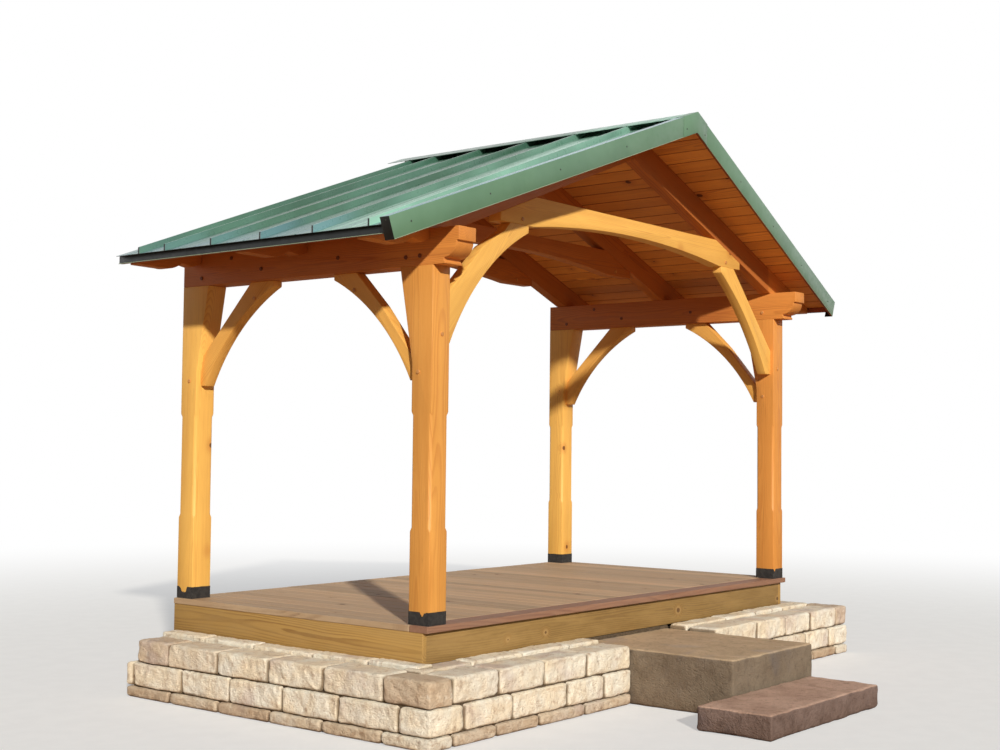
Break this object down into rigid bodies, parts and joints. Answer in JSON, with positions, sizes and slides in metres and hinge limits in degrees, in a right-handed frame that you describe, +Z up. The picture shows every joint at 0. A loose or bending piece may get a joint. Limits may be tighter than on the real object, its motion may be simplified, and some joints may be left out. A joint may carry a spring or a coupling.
{
  "type": "porch canopy",
  "caption": "Timber porch canopy with an arched truss, curved braces and a standing seam gable roof, on a board deck with a stone block base and stone steps.",
  "frame": {"origin": "centre of the outline at the level of the paving", "axes": "+X runs right along the house wall seen from outside, +Y goes towards the wall, +Z is up"},
  "size_m": [5.428, 3.832, 3.9006],
  "materials": {
    "wall_stone": "rough split faces",
    "step_stone": "sawn top, split edges",
    "treated_wood": "treated, rough",
    "deck_wood": "weathered boards",
    "timber": "oiled",
    "pine_boards": "oiled",
    "edge_boards": "stained",
    "green_metal": "satin paint",
    "black_flashing": "matt membrane"
  },
  "bodies": {
    "root": {"barge_board_left": "edge_boards", "barge_board_right": "edge_boards", "collar_front": "timber", "collar_middle": "timber", "collar_rear": "timber", "deck_boards": "deck_wood", "deck_border": "deck_wood", "eave_board_left": "edge_boards", "eave_board_right": "edge_boards", "eave_trim_left": "green_metal", "eave_trim_right": "green_metal", "front_brace_left": "timber", "front_brace_right": "timber", "plate_left": "timber", "plate_right": "timber", "post_boots": "black_flashing", "post_front_left": "timber", "post_front_right": "timber", "post_rear_left": "timber", "post_rear_right": "timber", "rafter_front_left": "timber", "rafter_front_right": "timber", "rafter_middle_left": "timber", "rafter_middle_right": "timber", "rafter_rear_left": "timber", "rafter_rear_right": "timber", "rake_peak": "green_metal", "rake_trim_left": "green_metal", "rake_trim_right": "green_metal", "ridge_cap": "green_metal", "rim_front": "treated_wood", "rim_ledger": "treated_wood", "rim_left": "treated_wood", "rim_right": "treated_wood", "roof_boards_left": "pine_boards", "roof_boards_right": "pine_boards", "roof_metal_left": "green_metal", "roof_metal_right": "green_metal", "side_brace_front_left": "timber", "side_brace_front_right": "timber", "side_brace_rear_left": "timber", "side_brace_rear_right": "timber", "step_lower": "step_stone", "step_upper": "step_stone", "wall_back": "wall_stone", "wall_front_left": "wall_stone", "wall_front_right": "wall_stone", "wall_left": "wall_stone", "wall_right": "wall_stone"}
  },
  "joints": []
}
